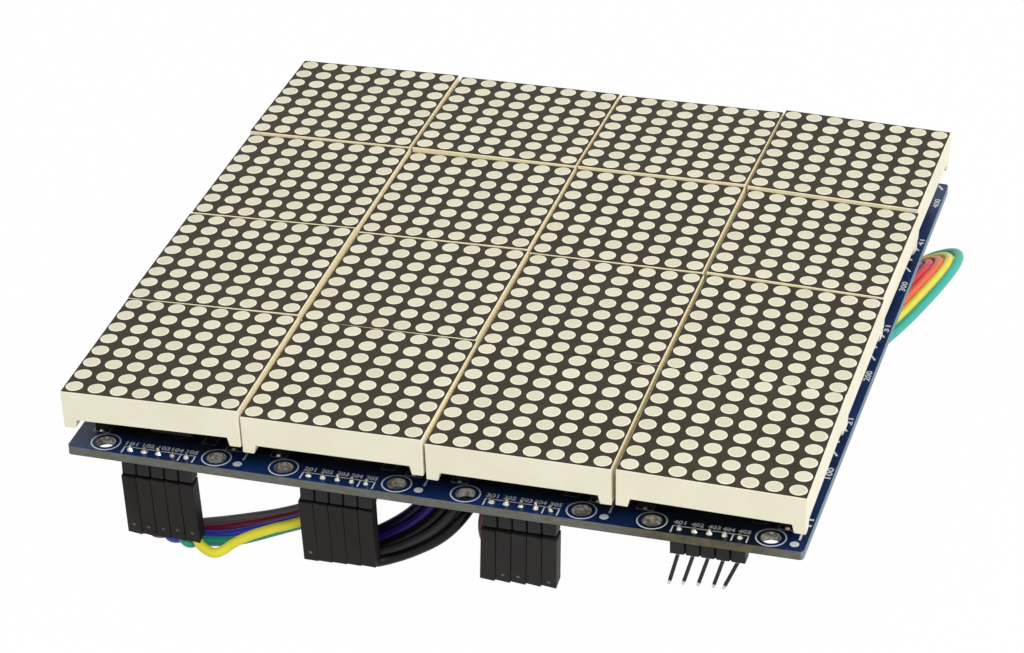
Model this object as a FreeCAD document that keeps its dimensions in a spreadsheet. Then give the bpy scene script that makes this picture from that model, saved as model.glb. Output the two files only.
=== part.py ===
"""A panel of sixteen 8 x 8 led modules on one driver board, with three ribbons of jumper wires.

The origin is the centre of the board's underside. X runs to the right along the front edge, Y to the
back and Z up. Each of the four strips of the board carries four modules, counted from the front.
Lengths are in millimetres and angles in degrees.
"""
import FreeCAD
import Part
import Sketcher
import math
import os

V = FreeCAD.Vector
STRIPS = 4          # strips side by side along X
ROWS = 4            # modules along Y on each strip
DOTS = 8            # led dots along each side of a module
PINS = 8            # pins in each of a module's two rows
WAYS = 5            # contacts of a header, plugs and wires of a ribbon
HEX_SIDES = 6
DOT_SIDE = math.sqrt(math.pi) / 2      # side of the square that has a circle's area, per diameter

DIMENSIONS = [
    ("module_pitch", 32.0), ("module_gap", 0.2), ("module_body", 5.5), ("wall_draft", 0.3),
    ("leg_height", 1.6), ("leg_foot", 2.05), ("leg_root", 2.4),
    ("mask_border", 0.15), ("mask_thick", 0.15),
    ("dot_pitch", 4.0), ("dot_diameter", 3.0), ("dot_rise", 0.1),
    ("board_thick", 1.6), ("board_corner", 0.8),
    ("hole_diameter", 3.4), ("hole_edge", 2.9), ("hole_offset", 10.0),
    ("array_shift", -0.5),
    ("pin_pitch", 2.54), ("socket_spacing", 24.0), ("socket_width", 2.54), ("socket_height", 5.0),
    ("matrix_pin", 0.5), ("seat_gap", 0.03),
    ("chip_length", 15.4), ("chip_width", 7.5), ("chip_height", 2.35),
    ("small_length", 2.0), ("small_width", 1.25), ("capacitor_height", 1.1), ("resistor_height", 0.55),
    ("small_from_chip", 1.6), ("small_spacing", 3.0),
    ("header_width", 2.54), ("header_height", 2.54), ("header_edge", 1.6),
    ("notch_depth", 0.45), ("notch_width", 0.45),
    ("header_pin", 0.64), ("pin_reach", 7.0), ("tip_width", 1.5), ("tip_height", 1.2),
    ("plug_width", 2.54), ("plug_length", 14.0), ("bore_width", 1.9), ("bore_depth", 2.9),
    ("wire_diameter", 1.5),
]

# how each module sits: lean about X, lean about Y, turn about Z, height over its sockets, shift in X and Y
SEATING = [
    [(0.2, -1.7, 0.1, 1.15, -0.3, 0.0), (0.9, -0.9, -0.3, 1.05, -0.1, 0.0),
     (1.7, -0.2, -0.1, 0.9, 0.1, 0.0), (1.4, 1.2, 0.4, 0.8, 0.55, 0.0)],
    [(-0.4, -2.1, 0.2, 1.25, -0.5, -0.1), (0.0, -1.4, -0.4, 1.3, -0.2, -0.1),
     (0.1, -0.5, -0.1, 1.2, 0.1, 0.0), (0.8, 1.1, 0.0, 0.9, 0.4, 0.0)],
    [(-0.6, -2.0, 0.0, 1.1, -0.3, -0.1), (-0.5, -1.4, 0.0, 1.35, -0.2, -0.1),
     (0.4, -0.9, -0.3, 1.5, -0.1, 0.0), (-0.7, 1.2, -0.3, 1.3, 0.3, 0.0)],
    [(-1.3, -1.3, -0.1, 0.95, -0.4, 0.0), (-1.9, -0.5, -0.3, 1.25, -0.1, 0.1),
     (-2.3, -0.7, -0.2, 1.45, 0.0, 0.1), (-1.0, 1.2, -0.2, 1.5, 0.2, 0.0)],
]

# how the plugs of a row hang: side (-1 front, 1 back), strip, swing of the lower ends along Y, lean along X,
# pitch and shift of their upper ends, and how much swing and lean grow from one plug to the next
PLUGS = {
    "front_plugs_1": (-1, 0, 12.8, 6.55, 2.61, -0.15, 0.0, -0.2),
    "front_plugs_2": (-1, 1, 12.8, 3.5, 2.64, -0.26, 0.0, 0.35),
    "front_plugs_3": (-1, 2, 19.4, 5.9, 2.65, -0.12, 0.4, 0.35),
    "back_plugs_2": (1, 1, -8.0, 0.0, 2.58, 0.0, 0.0, 0.0),
    "back_plugs_3": (1, 2, -8.0, 0.0, 2.58, 0.0, 0.0, 0.0),
    "back_plugs_4": (1, 3, -8.0, 0.0, 2.58, 0.0, 0.0, 0.0),
}

# the bare header pins lean: swing along Y, lean along X, from left to right
BARE_FRONT = [(-2.0, 14.0), (1.0, 16.0), (2.5, 16.5), (4.0, 16.5), (2.0, 23.0)]
BARE_BACK = [(0.0, 2.0), (1.5, -1.0), (0.0, 1.0), (-1.5, 0.0), (0.5, 3.0)]

# routes of the ribbons: at each step the point of the first wire and the point of the fifth
FIRST_ROUTE = [
    ((-54.69, -59.92, -13.8), (-44.1, -59.92, -13.8)),
    ((-55.08, -59.2, -17.2), (-44.46, -59.2, -17.2)),
    ((-54.07, -57.7, -18.2), (-42.52, -60.44, -18.2)),
    ((-50.61, -55.24, -18.2), (-41.83, -58.94, -18.2)),
    ((-44.96, -52.76, -18.2), (-38.75, -59.19, -18.2)),
    ((-39.3, -52.68, -16.72), (-34.61, -59.05, -17.41)),
    ((-28.54, -52.17, -13.57), (-26.14, -58.92, -12.81)),
    ((-19.22, -51.71, -8.75), (-15.68, -58.3, -9.0)),
    ((-14.6, -50.0, -4.6), (-8.1, -56.4, -4.73)),
    ((-14.2, -42.0, -3.2), (-7.0, -45.0, -3.0)),
    ((-18.8, -29.0, -5.4), (-10.6, -31.5, -5.0)),
    ((-30.0, -12.0, -9.5), (-21.4, -13.8, -9.5)),
    ((-38.6, 9.0, -11.5), (-30.6, 9.0, -11.5)),
    ((-34.6, 29.5, -10.0), (-25.6, 31.5, -10.0)),
    ((-26.2, 42.6, -12.5), (-16.8, 44.8, -12.5)),
    ((-21.7, 50.8, -15.6), (-11.8, 51.6, -15.6)),
    ((-21.2, 56.2, -18.1), (-10.9, 56.2, -18.1)),
    ((-21.16, 59.5, -18.2), (-10.84, 59.5, -18.2)),
    ((-21.16, 60.4, -16.9), (-10.84, 60.4, -16.9)),
    ((-21.16, 60.84, -13.8), (-10.84, 60.84, -13.8)),
]
# the last wire of the first ribbon dips to the table in front and crosses over its neighbour
STRAY_ROUTE = [
    (-44.1, -59.92, -13.8), (-44.48, -59.2, -17.4), (-41.9, -60.75, -18.0), (-39.24, -61.43, -18.18),
    (-35.8, -59.4, -15.83), (-29.55, -59.4, -12.48), (-25.02, -58.59, -11.13), (-16.04, -58.09, -6.49),
    (-8.2, -56.9, -3.1), (-5.2, -46.5, -2.8), (-8.5, -32.2, -4.8), (-20.9, -14.4, -9.5),
    (-28.6, 9.0, -11.5), (-24.6, 31.9, -10.0), (-15.6, 45.4, -12.5), (-11.4, 51.6, -15.6),
    (-10.9, 56.2, -18.1), (-10.84, 59.5, -18.2), (-10.84, 60.4, -16.9), (-10.84, 60.84, -13.8),
]
SECOND_ROUTE = [
    ((-22.05, -59.92, -13.8), (-11.8, -59.92, -13.8)),
    ((-22.22, -59.15, -17.35), (-12.04, -59.15, -17.35)),
    ((-19.49, -54.95, -17.78), (-9.74, -57.1, -17.99)),
    ((-13.15, -52.32, -15.08), (-5.35, -56.05, -15.38)),
    ((-6.98, -51.77, -10.68), (0.22, -55.6, -11.73)),
    ((-3.6, -51.0, -6.4), (3.9, -54.0, -7.4)),
    ((-1.6, -45.0, -3.7), (5.9, -47.0, -4.0)),
    ((6.0, -32.0, -5.5), (12.0, -36.5, -5.5)),
    ((22.0, -18.5, -11.5), (27.2, -24.4, -11.5)),
    ((38.0, 2.0, -13.2), (45.4, -1.4, -13.2)),
    ((37.0, 24.0, -12.0), (44.6, 27.4, -12.0)),
    ((22.0, 40.0, -12.0), (28.6, 44.8, -12.0)),
    ((13.6, 49.8, -15.4), (22.8, 52.2, -15.4)),
    ((11.3, 56.2, -18.1), (21.46, 56.2, -18.1)),
    ((10.84, 59.5, -18.2), (21.16, 59.5, -18.2)),
    ((10.84, 60.4, -16.9), (21.16, 60.4, -16.9)),
    ((10.84, 60.84, -13.8), (21.16, 60.84, -13.8)),
]
THIRD_ROUTE = [
    ((9.75, -58.83, -13.6), (19.84, -58.53, -13.6)),
    ((9.46, -57.7, -17.0), (19.45, -57.3, -17.0)),
    ((8.7, -55.6, -18.2), (18.9, -54.9, -18.2)),
    ((7.4, -54.6, -14.5), (16.8, -52.2, -15.2)),
    ((7.0, -54.6, -9.5), (14.8, -51.6, -10.6)),
    ((8.8, -52.2, -5.0), (16.0, -49.6, -6.4)),
    ((13.4, -42.5, -3.4), (20.0, -45.1, -4.2)),
    ((25.0, -28.5, -4.4), (30.0, -33.1, -5.0)),
    ((41.4, -9.0, -5.2), (46.0, -14.0, -6.8)),
    ((51.2, 10.0, -5.4), (56.2, 6.8, -7.8)),
    ((57.0, 27.0, -5.6), (62.2, 24.6, -8.2)),
    ((60.3, 41.15, -6.14), (65.68, 38.37, -8.52)),
    ((62.12, 51.45, -6.9), (68.5, 52.42, -8.55)),
    ((61.01, 53.31, -8.58), (67.39, 59.19, -9.72)),
    ((56.55, 52.85, -11.61), (61.69, 61.12, -12.74)),
    ((49.44, 51.87, -16.7), (57.16, 61.0, -16.86)),
    ((44.48, 53.88, -18.17), (54.57, 61.06, -18.2)),
    ((42.84, 60.35, -17.4), (53.14, 60.45, -17.3)),
    ((42.84, 60.84, -13.8), (53.16, 60.84, -13.8)),
]
RIBBONS = [
    ("first", FIRST_ROUTE, ["grey", "purple", "blue", "green"]),
    ("second", SECOND_ROUTE, ["navy", "violet", "black", "charcoal", "brown"]),
    ("third", THIRD_ROUTE, ["brown", "red", "orange", "yellow", "green"]),
]

doc = FreeCAD.newDocument("led_dot_matrix")
sheet = doc.addObject("Spreadsheet::Sheet", "Dim")
for row, (alias, value) in enumerate(DIMENSIONS, start=1):
    sheet.set("A%d" % row, alias)
    sheet.set("B%d" % row, str(value))
    sheet.setAlias("B%d" % row, alias)
doc.recompute()
nodes = []


def size(alias):
    """The value of one named cell of the sheet."""
    return float(sheet.get(alias))


def node(label, shape, placement=None):
    """A finished sub-part whose shape is set directly."""
    part = doc.addObject("Part::Feature", label)
    part.Label = label
    part.Shape = shape
    if placement:
        part.Placement = placement
    nodes.append(part)
    return part


# Bodies and sketches

def new_sketch(body, name, role):
    """A sketch on one of the body's own origin planes."""
    sketch = body.newObject("Sketcher::SketchObject", name)
    planes = [feature for feature in body.Origin.OriginFeatures if feature.Role == role]
    sketch.AttachmentSupport = [(planes[0], "")]
    sketch.MapMode = "FlatFace"
    return sketch


def bind(sketch, constraint, expression):
    """Adds a constraint and ties its value to the sheet."""
    index = sketch.addConstraint(constraint)
    sketch.setExpression("Constraints[%d]" % index, expression)


def closed_outline(sketch, points):
    """Straight lines through the points and back to the first. Returns the number of the first line."""
    start = sketch.GeometryCount
    count = len(points)
    for i in range(count):
        sketch.addGeometry(Part.LineSegment(points[i], points[(i + 1) % count]), False)
    for i in range(count):
        sketch.addConstraint(Sketcher.Constraint("Coincident", start + i, 2, start + (i + 1) % count, 1))
    return start


def centred_rectangle(sketch, along_x, along_y):
    """A rectangle about the sketch's origin, its sides given as expressions."""
    first = closed_outline(sketch, [V(-1, -1, 0), V(1, -1, 0), V(1, 1, 0), V(-1, 1, 0)])
    for i in (0, 2):
        sketch.addConstraint(Sketcher.Constraint("Horizontal", first + i))
        sketch.addConstraint(Sketcher.Constraint("Vertical", first + i + 1))
    sketch.addConstraint(Sketcher.Constraint("Symmetric", first, 1, first + 1, 2, -1, 1))
    bind(sketch, Sketcher.Constraint("DistanceX", first, 1, first, 2, 2.0), along_x)
    bind(sketch, Sketcher.Constraint("DistanceY", first + 1, 1, first + 1, 2, 2.0), along_y)


def block(name, along_x, along_y, height, downwards=True):
    """A body that is one block about its own Z axis, below or above its origin."""
    body = doc.addObject("PartDesign::Body", name)
    outline = new_sketch(body, name + "_outline", "XY_Plane")
    centred_rectangle(outline, along_x, along_y)
    pad = body.newObject("PartDesign::Pad", name + "_pad")
    pad.Profile = outline
    pad.setExpression("Length", height)
    pad.Reversed = downwards
    return body, pad


def square_pyramid(name, side, rise):
    """A low four-sided pyramid about the Z axis, standing on its origin."""
    wedge = doc.addObject("Part::Wedge", name)
    for low, high in (("Xmin", "Xmax"), ("Zmin", "Zmax")):
        wedge.setExpression(low, "-(%s) / 2" % side)
        wedge.setExpression(high, "(%s) / 2" % side)
    wedge.Ymin = 0
    wedge.setExpression("Ymax", rise)
    for apex in ("X2min", "X2max", "Z2min", "Z2max"):
        setattr(wedge, apex, 0)
    wedge.Placement = FreeCAD.Placement(V(0, 0, 0), FreeCAD.Rotation(V(1, 0, 0), 90))
    return wedge


# Board

def make_board():
    """The circuit board, with two mounting holes at each end of every strip."""
    board, pad = block("board", "Dim.module_pitch * %d" % STRIPS, "Dim.module_pitch * %d" % ROWS,
                       "Dim.board_thick", downwards=False)
    doc.recompute()
    upright = [i for i, edge in enumerate(pad.Shape.Edges, start=1)
               if edge.BoundBox.ZLength > size("board_thick") / 2]
    corners = board.newObject("PartDesign::Fillet", "board_corners")
    corners.Base = (pad, ["Edge%d" % i for i in upright])
    corners.setExpression("Radius", "Dim.board_corner")
    board.Tip = corners
    holes = new_sketch(board, "hole_centres", "XY_Plane")
    strip_x = size("module_pitch") * (STRIPS - 1) / 2
    end_y = size("module_pitch") * ROWS / 2 - size("hole_edge")
    first_strip = "Dim.module_pitch * %s" % ((STRIPS - 1) / 2)
    for side_x in (-1, 1):
        for side_y in (-1, 1):
            middle = V(side_x * size("hole_offset") - strip_x, side_y * end_y, 0)
            circle = holes.addGeometry(Part.Circle(middle, V(0, 0, 1), size("hole_diameter") / 2), False)
            bind(holes, Sketcher.Constraint("Diameter", circle, 2.0), "Dim.hole_diameter")
            left = Sketcher.Constraint("DistanceX", circle, 3, -1, 1, -middle.x)
            bind(holes, left, "%s - %d * Dim.hole_offset" % (first_strip, side_x))
            ends = (-1, 1, circle, 3) if side_y > 0 else (circle, 3, -1, 1)
            along = Sketcher.Constraint("DistanceY", *ends, end_y)
            bind(holes, along, "Dim.module_pitch * %s - Dim.hole_edge" % (ROWS / 2))
    drill = board.newObject("PartDesign::Pocket", "first_holes")
    drill.Profile = holes
    drill.Type = "ThroughAll"
    drill.Reversed = True
    doc.recompute()
    pattern = board.newObject("PartDesign::LinearPattern", "strip_holes")
    pattern.Originals = [drill]
    axes = [feature for feature in board.Origin.OriginFeatures if feature.Role == "X_Axis"]
    pattern.Direction = (axes[0], [""])
    pattern.Occurrences = STRIPS
    pattern.setExpression("Length", "Dim.module_pitch * %d" % (STRIPS - 1))
    board.Tip = pattern
    nodes.append(board)


# Modules

def make_housing_mould():
    """The moulded case of one module: drafted sides, and a slanted gap on each side between four legs."""
    side = "Dim.module_pitch - Dim.module_gap"
    body, pad = block("housing_mould", side, side, "Dim.module_body + Dim.leg_height")
    pad.setExpression("TaperAngle", "-Dim.wall_draft")
    half = (size("module_pitch") - size("module_gap")) / 2
    foot = half - size("leg_foot")
    root = half - size("leg_root")
    ceiling = size("module_body")
    ground = ceiling + size("leg_height")
    for name, role in (("gap_along_y", "XZ_Plane"), ("gap_along_x", "YZ_Plane")):
        gap = new_sketch(body, name, role)
        line = closed_outline(gap, [V(-foot, -ground, 0), V(foot, -ground, 0), V(root, -ceiling, 0),
                                    V(-root, -ceiling, 0)])
        gap.addConstraint(Sketcher.Constraint("Symmetric", line, 1, line, 2, -2))
        gap.addConstraint(Sketcher.Constraint("Symmetric", line + 2, 1, line + 2, 2, -2))
        bind(gap, Sketcher.Constraint("DistanceX", line, 1, line, 2, 2 * foot), side + " - 2 * Dim.leg_foot")
        bind(gap, Sketcher.Constraint("DistanceX", line + 2, 2, line + 2, 1, 2 * root),
             side + " - 2 * Dim.leg_root")
        bind(gap, Sketcher.Constraint("DistanceY", line, 1, -1, 1, ground), "Dim.module_body + Dim.leg_height")
        bind(gap, Sketcher.Constraint("DistanceY", line + 2, 1, -1, 1, ceiling), "Dim.module_body")
        cut = body.newObject("PartDesign::Pocket", name + "_cut")
        cut.Profile = gap
        cut.Midplane = True
        cut.setExpression("Length", "Dim.module_pitch * 2")
        body.Tip = cut
    return body


def module_place(strip, row):
    """Where the centre of a module's face lies, and how the module leans."""
    lean_x, lean_y, turn, height, shift_x, shift_y = SEATING[row][strip]
    x = (strip - (STRIPS - 1) / 2) * size("module_pitch")
    y = (row - (ROWS - 1) / 2) * size("module_pitch") + size("array_shift")
    z = size("board_thick") + size("socket_height") + height + size("module_body") + size("mask_thick")
    return FreeCAD.Placement(V(x + shift_x, y + shift_y, z), FreeCAD.Rotation(turn, lean_y, lean_x))


def below_face(place, depth):
    """The same placement, moved down square to the module's face."""
    return place.multiply(FreeCAD.Placement(V(0, 0, -depth), FreeCAD.Rotation()))


def make_modules():
    """Sixteen housings, each a node, then the black masks and the dots of each strip."""
    mould = make_housing_mould()
    mask_side = "Dim.module_pitch - Dim.module_gap - 2 * Dim.mask_border"
    mask = block("mask_sheet", mask_side, mask_side, "Dim.mask_thick")[0]
    dot = square_pyramid("dot_lens", "Dim.dot_diameter * %.4f" % DOT_SIDE, "Dim.dot_rise")
    doc.recompute()
    for strip in range(STRIPS):
        masks = []
        dots = []
        for row in range(ROWS):
            place = module_place(strip, row)
            node("housing_%d_%d" % (strip + 1, row + 1), mould.Shape.copy(),
                 below_face(place, size("mask_thick")))
            masks.append(moved(mask.Shape, place))
            dots += dot_grid(dot.Shape, place)
        node("face_mask_%d" % (strip + 1), Part.makeCompound(masks))
        node("led_dots_%d" % (strip + 1), Part.makeCompound(dots))


def moved(shape, place):
    """A copy of a shape, set at a placement."""
    copy = shape.copy()
    copy.Placement = place.multiply(copy.Placement)
    return copy


def dot_grid(dot, place):
    """The dots of one module, on its mask."""
    first = -(DOTS - 1) / 2 * size("dot_pitch")
    steps = [first + i * size("dot_pitch") for i in range(DOTS)]
    return [moved(dot, place.multiply(FreeCAD.Placement(V(x, y, 0), FreeCAD.Rotation())))
            for x in steps for y in steps]


# Sockets, pins and parts on the board

def board_places():
    """The strip, the row and the point on the board under the centre of each module."""
    for strip in range(STRIPS):
        for row in range(ROWS):
            x = (strip - (STRIPS - 1) / 2) * size("module_pitch")
            y = (row - (ROWS - 1) / 2) * size("module_pitch") + size("array_shift")
            yield strip, row, V(x, y, size("board_thick"))


def make_sockets():
    """Two rows of sockets under each module, grouped by strip."""
    socket = block("socket_strip", "Dim.socket_width", "Dim.pin_pitch * %d" % PINS, "Dim.socket_height",
                   downwards=False)[0]
    doc.recompute()
    groups = [[] for _ in range(STRIPS)]
    for strip, _, centre in board_places():
        for side in (-1, 1):
            offset = V(side * size("socket_spacing") / 2, 0, 0)
            groups[strip].append(moved(socket.Shape, FreeCAD.Placement(centre + offset, FreeCAD.Rotation())))
    for strip, sockets in enumerate(groups):
        node("sockets_%d" % (strip + 1), Part.makeCompound(sockets))


def make_matrix_pins():
    """The pins of the modules, from each socket's top to the back of the leaning module."""
    thick = size("matrix_pin")
    pins = []
    for strip, row, centre in board_places():
        place = module_place(strip, row)
        normal = place.Rotation.multVec(V(0, 0, 1))
        back = place.multVec(V(0, 0, -size("module_body") - size("mask_thick")))
        foot = centre.z + size("socket_height")
        for side in (-1, 1):
            for i in range(PINS):
                x = centre.x + side * size("socket_spacing") / 2
                y = centre.y + (i - (PINS - 1) / 2) * size("pin_pitch")
                fall = (normal.x * (x - back.x) + normal.y * (y - back.y)) / normal.z
                top = back.z - fall - size("seat_gap")
                corners = [V(x, y + thick / 2, foot), V(x - thick / 2, y - thick / 2, foot),
                           V(x + thick / 2, y - thick / 2, foot)]
                outline = Part.Face(Part.makePolygon(corners + corners[:1]))
                pins.append(outline.extrude(V(0, 0, top - foot)))
    node("matrix_pins", Part.makeCompound(pins))


def make_board_parts():
    """A driver chip under each module, with a capacitor and a resistor at its end."""
    chip = block("chip_body", "Dim.chip_width", "Dim.chip_length", "Dim.chip_height", downwards=False)[0]
    capacitor = block("capacitor_body", "Dim.small_length", "Dim.small_width", "Dim.capacitor_height",
                      downwards=False)[0]
    resistor = block("resistor_body", "Dim.small_length", "Dim.small_width", "Dim.resistor_height",
                     downwards=False)[0]
    doc.recompute()
    beyond = size("chip_length") / 2 + size("small_from_chip")
    aside = size("small_spacing") / 2
    layout = [("driver_chips", chip, V(0, 0, 0)), ("capacitors", capacitor, V(-aside, beyond, 0)),
              ("resistors", resistor, V(aside, beyond, 0))]
    for label, body, offset in layout:
        copies = [moved(body.Shape, FreeCAD.Placement(centre + offset, FreeCAD.Rotation()))
                  for _, _, centre in board_places()]
        node(label, Part.makeCompound(copies))


# Headers

def header_centre(side, strip):
    """The point on the board's underside over the middle of a header: side -1 front, 1 back."""
    x = (strip - (STRIPS - 1) / 2) * size("module_pitch")
    y = side * (size("module_pitch") * ROWS / 2 - size("header_edge"))
    return V(x, y, 0)


def make_headers():
    """Five-way headers under both ends of each strip, with a notch between every two contacts."""
    header, _ = block("header_bar", "Dim.pin_pitch * %d" % WAYS, "Dim.header_width", "Dim.header_height")
    notches = new_sketch(header, "notch_outline", "XY_Plane")
    first_joint = "Dim.pin_pitch * %s" % (WAYS / 2 - 1)
    joint = size("pin_pitch") * (WAYS / 2 - 1)
    half_notch = size("notch_width") / 2
    face_y = size("header_width") / 2
    tip_y = face_y - size("notch_depth")
    for face in (-1, 1):
        line = closed_outline(notches, [V(-joint - half_notch, face_y * face, 0),
                                        V(-joint + half_notch, face_y * face, 0), V(-joint, tip_y * face, 0)])
        notches.addConstraint(Sketcher.Constraint("Horizontal", line))
        bind(notches, Sketcher.Constraint("DistanceX", line, 1, line, 2, 2 * half_notch), "Dim.notch_width")
        bind(notches, Sketcher.Constraint("DistanceX", line, 1, line + 1, 2, half_notch), "Dim.notch_width / 2")
        bind(notches, Sketcher.Constraint("DistanceX", line + 1, 2, -1, 1, joint), first_joint)
        ends = (-1, 1, line, 1) if face > 0 else (line, 1, -1, 1)
        bind(notches, Sketcher.Constraint("DistanceY", *ends, face_y), "Dim.header_width / 2")
        tip = (line + 1, 2, line, 1) if face > 0 else (line, 1, line + 1, 2)
        bind(notches, Sketcher.Constraint("DistanceY", *tip, face_y - tip_y), "Dim.notch_depth")
    cut = header.newObject("PartDesign::Pocket", "first_notch")
    cut.Profile = notches
    cut.Type = "ThroughAll"
    doc.recompute()
    pattern = header.newObject("PartDesign::LinearPattern", "notches")
    pattern.Originals = [cut]
    axes = [feature for feature in header.Origin.OriginFeatures if feature.Role == "X_Axis"]
    pattern.Direction = (axes[0], [""])
    pattern.Occurrences = WAYS - 1
    pattern.setExpression("Length", "Dim.pin_pitch * %d" % (WAYS - 2))
    header.Tip = pattern
    tip = square_pyramid("solder_cone", "Dim.tip_width", "Dim.tip_height")
    doc.recompute()
    tips = []
    for label, side in (("front_headers", -1), ("back_headers", 1)):
        centres = [header_centre(side, strip) for strip in range(STRIPS)]
        node(label, Part.makeCompound([moved(header.Shape, FreeCAD.Placement(centre, FreeCAD.Rotation()))
                                       for centre in centres]))
        for centre in centres:
            for i in range(WAYS):
                top = centre + V(way_offset(i), 0, size("board_thick"))
                tips.append(moved(tip.Shape, FreeCAD.Placement(top, FreeCAD.Rotation())))
    node("solder_tips", Part.makeCompound(tips))


def way_offset(i):
    """How far contact i lies from the middle of its header, along X."""
    return (i - (WAYS - 1) / 2) * size("pin_pitch")


def make_bare_pins():
    """The bent pins of the two headers that carry no plugs."""
    pin = block("bare_pin", "Dim.header_pin", "Dim.header_pin", "Dim.pin_reach")[0]
    doc.recompute()
    for label, side, strip, leans in (("front_pins", -1, STRIPS - 1, BARE_FRONT), ("back_pins", 1, 0, BARE_BACK)):
        root = header_centre(side, strip) - V(0, 0, size("header_height"))
        pins = []
        for i, (swing, lean) in enumerate(leans):
            sink = size("header_pin") / 2 * (math.sin(math.radians(abs(swing))) + math.sin(math.radians(abs(lean))))
            top = root + V(way_offset(i), 0, -sink)
            pins.append(moved(pin.Shape, FreeCAD.Placement(top, FreeCAD.Rotation(0, lean, swing))))
        node(label, Part.makeCompound(pins))


# Plugs

def make_plugs():
    """Single plug housings, hollow at the lower end where the wire goes in, in rows of five."""
    mould, _ = block("plug_mould", "Dim.plug_width", "Dim.plug_width", "Dim.plug_length")
    bore = new_sketch(mould, "bore_outline", "XY_Plane")
    centred_rectangle(bore, "Dim.bore_width", "Dim.bore_width")
    bore.setExpression("AttachmentOffset.Base.z", "-Dim.plug_length")
    drill = mould.newObject("PartDesign::Pocket", "bore")
    drill.Profile = bore
    drill.Reversed = True
    drill.setExpression("Length", "Dim.bore_depth")
    mould.Tip = drill
    doc.recompute()
    for label, (side, strip, swing, lean, pitch, shift, more_swing, more_lean) in PLUGS.items():
        root = header_centre(side, strip) - V(0, 0, size("header_height"))
        plugs = []
        for i in range(WAYS):
            step = i - (WAYS - 1) / 2
            around_x = swing + step * more_swing
            around_y = lean + step * more_lean
            tilt = math.sin(math.radians(abs(around_x))) + math.sin(math.radians(abs(around_y)))
            top = root + V(shift + step * pitch, 0, -size("plug_width") / 2 * tilt)
            plugs.append(moved(mould.Shape, FreeCAD.Placement(top, FreeCAD.Rotation(0, around_y, around_x))))
        node(label, Part.makeCompound(plugs))


# Wires

def ribbon_lanes(steps, count):
    """Routes of the first wires of a ribbon of five, evenly spaced between its two outer ones."""
    lanes = []
    for lane in range(count):
        share = lane / (WAYS - 1)
        lanes.append([V(*first) * (1 - share) + V(*last) * share for first, last in steps])
    return lanes


def wire_path(points):
    """Straight runs joined by tangent arcs, each as large as its two runs allow."""
    edges = []
    radii = []
    reached = points[0]
    for before, corner, after in zip(points, points[1:], points[2:]):
        back = (before - corner).normalize()
        ahead = (after - corner).normalize()
        turn = math.pi - back.getAngle(ahead)
        cut = 0.45 * min(before.distanceToPoint(corner), after.distanceToPoint(corner))
        radius = cut / math.tan(turn / 2)
        start = corner + back * cut
        end = corner + ahead * cut
        inwards = (back + ahead).normalize()
        middle = corner + inwards * (radius / math.cos(turn / 2) - radius)
        edges.append(Part.LineSegment(reached, start).toShape())
        edges.append(Part.Arc(start, middle, end).toShape())
        radii.append(radius)
        reached = end
    edges.append(Part.LineSegment(reached, points[-1]).toShape())
    return Part.Wire(edges), radii


def wire_tube(label, points):
    """One plain wire along its route. Its volume is compared with its section times its length."""
    path, radii = wire_path(points)
    ahead = (points[1] - points[0]).normalize()
    corners = [V(math.cos(angle), math.sin(angle), 0) * size("wire_diameter") / 2
               for angle in (2 * math.pi * i / HEX_SIDES for i in range(HEX_SIDES + 1))]
    corners[-1] = corners[0]
    section = Part.makePolygon(corners)
    section.Placement = FreeCAD.Placement(points[0], FreeCAD.Rotation(V(0, 0, 1), ahead))
    tube = path.makePipeShell([section], True, False)
    expected = Part.Face(section).Area * path.Length
    print("%-22s length %.1f, tightest radius %.2f, volume off by %.2f%%"
          % (label, path.Length, min(radii), 100 * (tube.Volume / expected - 1)))
    node(label, tube)


def make_wires():
    """Three ribbons of five wires, each wire a node of its own."""
    for name, steps, colours in RIBBONS:
        for colour, route in zip(colours, ribbon_lanes(steps, len(colours))):
            wire_tube("wire_%s_%s" % (name, colour), route)
    wire_tube("wire_first_yellow", [V(*point) for point in STRAY_ROUTE])


make_board()
make_modules()
make_sockets()
make_matrix_pins()
make_board_parts()
make_headers()
make_bare_pins()
make_plugs()
make_wires()
doc.recompute()

for thing in doc.Objects:
    if "Invalid" in thing.State or "Error" in thing.State:
        raise RuntimeError("%s failed to build" % thing.Label)
for part in nodes:
    if part.Shape.isNull() or not part.Shape.isValid():
        raise RuntimeError("%s has no valid shape" % part.Label)

os.makedirs("parts", exist_ok=True)
for part in nodes:
    part.Shape.exportStep("parts/%s.step" % part.Label)
print(len(nodes), "nodes written")
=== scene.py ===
# %% [markdown]
# An led dot matrix panel. Sixteen cream modules with black faces and pale dots stand on one blue driver
# board, and ribbons of jumper wires run under it from header to header. The rigid pieces come from the
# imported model, which is loaded first and is never moved, so every piece already has its real size and
# place. This script gives them their finish, rounds their moulded edges, and lays the wires along their
# routes. Lengths are written in millimetres and turned into Blender's metres by MM.

# %% Load the frame
import bmesh
import bpy
import math
import random
from mathutils import Matrix, Vector


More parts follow.
